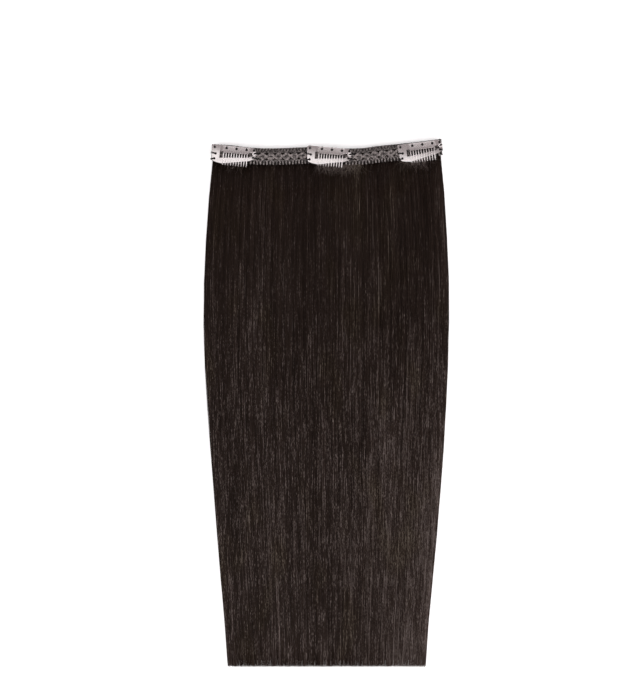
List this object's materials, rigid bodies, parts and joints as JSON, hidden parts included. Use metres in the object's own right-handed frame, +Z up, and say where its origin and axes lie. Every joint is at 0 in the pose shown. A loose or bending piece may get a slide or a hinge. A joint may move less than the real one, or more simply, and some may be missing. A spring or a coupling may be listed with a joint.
{
  "type": "clip in hair extension",
  "caption": "Weft of straight dark hair with a lace-covered sewn head and sprung snap clips with combs, lying flat with its clips up.",
  "frame": {"origin": "middle of the weft's head, on the surface that the hair lies on", "axes": "+X along the lace band, +Y from the hair's tips towards its head, +Z up, the way the clips face"},
  "size_m": [0.181, 0.3809, 0.007],
  "materials": {
    "hair": "straight dark brown hair with a soft sheen",
    "lace": "grey-brown knitted lace",
    "clip_plate": "bright nickel-plated spring steel",
    "clip_comb": "bright nickel-plated spring steel"
  },
  "bodies": {
    "weft": {"hair_weft": "hair", "lace_band": "lace", "clip_left_plate": "clip_plate", "clip_middle_plate": "clip_plate", "clip_right_plate": "clip_plate"},
    "left_comb": {"clip_left_comb": "clip_comb"},
    "middle_comb": {"clip_middle_comb": "clip_comb"},
    "right_comb": {"clip_right_comb": "clip_comb"}
  },
  "joints": [
    {"name": "left_comb_hinge", "type": "hinge", "parent": "weft", "child": "left_comb", "pos_m": [-0.08299, 0.00813, 0.0048], "axis": [-0.9952, 0.098, 0], "range_deg": [0, 35]},
    {"name": "middle_comb_hinge", "type": "hinge", "parent": "weft", "child": "middle_comb", "pos_m": [-0.014, 0.00738, 0.0048], "axis": [-0.9961, 0.0888, 0], "range_deg": [0, 35]},
    {"name": "right_comb_hinge", "type": "hinge", "parent": "weft", "child": "right_comb", "pos_m": [0.05105, 0.00735, 0.0048], "axis": [-0.9917, -0.1282, 0], "range_deg": [0, 35]}
  ]
}
